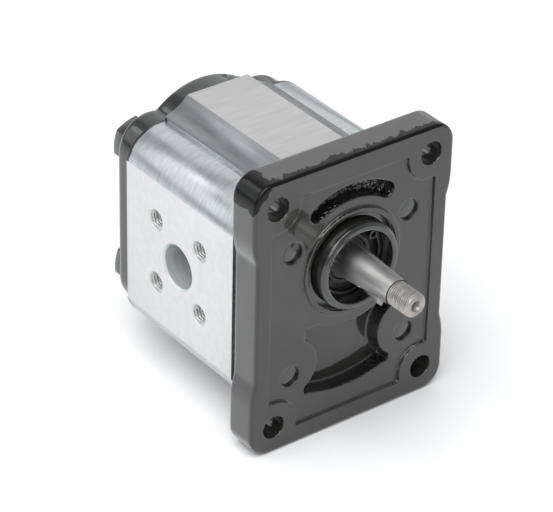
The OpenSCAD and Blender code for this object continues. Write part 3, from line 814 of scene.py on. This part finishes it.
def makePortThread():
    v = threadValues
    length = v["end"] - v["start"]

    def ridged(turnShare, lengthShare):
        phase = (length * lengthShare / v["pitch"] + turnShare) % 1
        radius = v["root"] + (v["crest"] - v["root"]) * abs(2 * phase - 1)
        turn = 2 * math.pi * turnShare
        return v["start"] + length * lengthShare, radius * math.cos(turn), radius * math.sin(turn)

    sleeve = addWrapped("portThreads", v["around"], int(length / v["pitch"] * v["perTurn"]), ridged)
    makeActive(sleeve)
    bpy.ops.object.mode_set(mode="EDIT")
    bpy.ops.mesh.select_all(action="SELECT")
    bpy.ops.mesh.region_to_loop()
    bpy.ops.mesh.extrude_edges_move()
    bpy.ops.transform.resize(value=(1, 1.25, 1.25), center_override=(0, 0, 0))
    bpy.ops.mesh.bridge_edge_loops()
    bpy.ops.mesh.select_all(action="SELECT")
    bpy.ops.mesh.normals_make_consistent(inside=False)
    bpy.ops.object.mode_set(mode="OBJECT")
    return sleeve


sleeve = makePortThread()
half = bodyValues["threadCircle"] / 2 / math.sqrt(2)
places = [(y, z) for y in (-half, half) for z in (-half, half)]
rightSleeves = [copyPiece(sleeve, (0, bodyValues["portY"] + y, middleZ + z)) for y, z in places]
sleeve.rotation_euler = (0, 0, math.pi)
applyPlace(sleeve)
leftSleeves = [copyPiece(sleeve, (0, bodyValues["portY"] + y, middleZ + z)) for y, z in places]
bpy.data.objects.remove(sleeve)
portThreads = joinAll(rightSleeves + leftSleeves, "portThreads")
giveFinishes(portThreads, "tappedWall")
shadeSmooth(portThreads, 40)
finishPiece(portThreads, "housing", "extruded_body")


coverValues = {
    "lobeX": 25.2, "lobeZ": 28, "lobeRadius": 14.3, "domeRadius": 32.6, "domeTop": 49.8, "round": 3.6,
    "voxel": 0.6, "soften": 4, "keep": 0.4,
}


def coverQuarter():
    v = coverValues
    centre = (v["lobeX"], v["lobeZ"])
    dome = (0, v["domeTop"] - v["domeRadius"])
    # where the lobe and the dome cross
    gap = math.hypot(centre[0] - dome[0], centre[1] - dome[1])
    along = (v["domeRadius"] ** 2 - v["lobeRadius"] ** 2 + gap ** 2) / (2 * gap)
    aside = math.sqrt(v["domeRadius"] ** 2 - along ** 2)
    ux, uz = (centre[0] - dome[0]) / gap, (centre[1] - dome[1]) / gap
    cross = (dome[0] + ux * along - uz * aside, dome[1] + uz * along + ux * aside)
    lobe = arcPoints(centre, v["lobeRadius"], 0, angleTo(centre, cross), 24)
    crown = arcPoints(dome, v["domeRadius"], angleTo(dome, cross), 88, 16)
    return lobe + crown[1:]


def makeCover():
    v = coverValues
    cover = addOutline("coverCasting", mirrorQuarter(coverQuarter(), middleZ), coverLow.y, coverHigh.y)
    roundEdges(cover, v["round"], 5, lambda place: place.y > coverHigh.y - 0.1)
    # two cast nubs on the crown
    for x, y in ((9, 95), (15.5, 94)):
        bpy.ops.object.select_all(action="DESELECT")
        z = middleZ + v["domeTop"] - v["domeRadius"] + math.sqrt(v["domeRadius"] ** 2 - x * x)
        bpy.ops.mesh.primitive_uv_sphere_add(segments=24, ring_count=12, radius=1.3 * mm,
                location=(x * mm, y * mm, (z - 0.5) * mm))
        combine(cover, applyPlace(bpy.context.object), "UNION")
    for sideX in (-1, 1):
        for sideZ in (-1, 1):
            x, z = sideX * bodyValues["boltX"], middleZ + sideZ * bodyValues["boltZ"]
            combine(cover, addRod(5.25, 5.25, coverLow.y - 2, coverHigh.y + 2, x, z, 64))
    softenCasting(cover, v["voxel"], v["soften"], v["keep"])
    return cover


cover = makeCover()
giveFinishes(cover, "coverPaint")
shadeSmooth(cover, 50)
finishPiece(cover, "housing", "black_casting", "rear_cover")


boltValues = {"flats": 17, "seat": 7.8, "shank": 4.95, "turn": 8}


def makeBolt():
    v = boltValues
    seat = coverHigh.y
    corner = v["flats"] / math.sqrt(3)
    bolt = addRod(corner, corner, seat + 0.6, boltHigh.y, sides=6)
    # a shallow cone takes the six corners off
    guard = addLathe("guard", [(0, seat), (12, seat), (12, boltHigh.y - 2.1), (8.1, boltHigh.y),
            (0, boltHigh.y)], 96)
    combine(bolt, guard, "INTERSECT")
    combine(bolt, addRod(v["seat"], v["seat"], seat, seat + 0.7), "UNION")
    combine(bolt, addRod(v["shank"], v["shank"], boltLow.y, seat + 0.3, sides=64), "UNION")
    bolt.rotation_euler = (0, math.radians(v["turn"]), 0)
    return bevelEdges(applyPlace(bolt), 0.18, 2, 25)


bolt = makeBolt()
boltPlaces = [(x, z) for x in (-1, 1) for z in (-1, 1)]
bolts = [copyPiece(bolt, (x * bodyValues["boltX"], 0, middleZ + z * bodyValues["boltZ"])) for x,
        z in boltPlaces]
bpy.data.objects.remove(bolt)
throughBolts = joinAll(bolts, "throughBolts")
giveFinishes(throughBolts, "glossPaint")
shadeSmooth(throughBolts, 30)
finishPiece(throughBolts, "housing", "bolt_steel", "cover_bolts")


shaftValues = {
    "taperEnd": -26, "pitch": 1.0, "crest": 4.97, "root": 4.3, "chamfer": 0.9, "drill": 1.35, "sink": 2.2,
    "around": 96, "perTurn": 8,
}


def makeThreadEnd():
    v = shaftValues
    tip, start = shaftLow.y, v["taperEnd"] + 0.6

    def ridged(turnShare, lengthShare):
        y = tip + (start - tip) * lengthShare
        phase = (y / v["pitch"] + turnShare) % 1
        radius = v["root"] + (v["crest"] - v["root"]) * min(1, 1.25 * abs(2 * phase - 1))
        radius = min(radius, v["crest"] - v["chamfer"] + (y - tip))
        turn = 2 * math.pi * turnShare
        return radius * math.cos(turn), y, radius * math.sin(turn)

    end = addWrapped("threadEnd", v["around"], int((start - tip) / v["pitch"] * v["perTurn"]), ridged)
    makeActive(end)
    bpy.ops.object.mode_set(mode="EDIT")
    bpy.ops.mesh.select_mode(type="EDGE")
    bpy.ops.mesh.select_all(action="SELECT")
    bpy.ops.mesh.fill_holes(sides=0)
    bpy.ops.mesh.select_all(action="SELECT")
    bpy.ops.mesh.normals_make_consistent(inside=False)
    bpy.ops.object.mode_set(mode="OBJECT")
    end.data.materials.append(finishes["cutThread"])
    # the centre drill's wall is near black, painted shade in the hole
    drill = addLathe("drill", [(0, tip - 1), (v["sink"] + 1, tip - 1), (v["drill"], tip + 1.2),
            (v["drill"], tip + 6), (0, tip + 7)], 64)
    drill.data.materials.append(finishes["drilledWallPaintedShade"])
    return combine(end, drill)


def makeShaft():
    shaft = copyNode("drive_gear_shaft", "driveShaft")
    makeActive(shaft)
    bpy.ops.object.mode_set(mode="EDIT")
    bpy.ops.mesh.select_all(action="SELECT")
    cut = (0, (shaftValues["taperEnd"] + 0.01) * mm, 0)
    bpy.ops.mesh.bisect(plane_co=cut, plane_no=(0, -1, 0), clear_outer=True, use_fill=True)
    bpy.ops.object.mode_set(mode="OBJECT")
    bevelEdges(shaft, 0.15, 2, 40)
    shaft.data.materials.append(finishes["groundSteel"])
    return joinAll([shaft, makeThreadEnd()], "driveShaft")


driveShaft = makeShaft()
shadeSmooth(driveShaft, 35)
finishPiece(driveShaft, "drive_shaft", "ground_steel", "drive_gear_shaft")


smallParts = (
    ("shaft_key", "halfRoundKey", 0.15, "drive_shaft", "key_steel", "drawnKey"),
    ("retaining_ring", "circlip", 0.12, "housing", "spring_steel", "blackSteel"),
)
for node, name, bevel, rides, slot, finish in smallParts:
    part = copyNode(node, name, bevel)
    part.data.materials.append(finishes[finish])
    finishPiece(part, rides, slot, node)

carriedOver = {
    "driven_gear_shaft": "groundSteel",
    "front_bearing_block": "bearingAlloy", "rear_bearing_block": "bearingAlloy",
    "drive_front_bush": "bushLining", "drive_rear_bush": "bushLining", "driven_front_bush": "bushLining",
    "driven_rear_bush": "bushLining", "front_block_seal": "sealRubber", "rear_block_seal": "sealRubber",
    "front_backup_seal": "backupPlastic", "rear_backup_seal": "backupPlastic",
    "front_body_seal": "sealRubber",
    "rear_body_seal": "sealRubber", "shaft_seal_case": "blackSteel", "shaft_seal_lip": "sealRubber",
    "garter_spring": "groundSteel", "dowel_pins": "drawnKey",
}
for node, finish in carriedOver.items():
    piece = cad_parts[node]
    for slot in piece.material_slots:
        slot.material = finishes[finish]
print("small parts done")
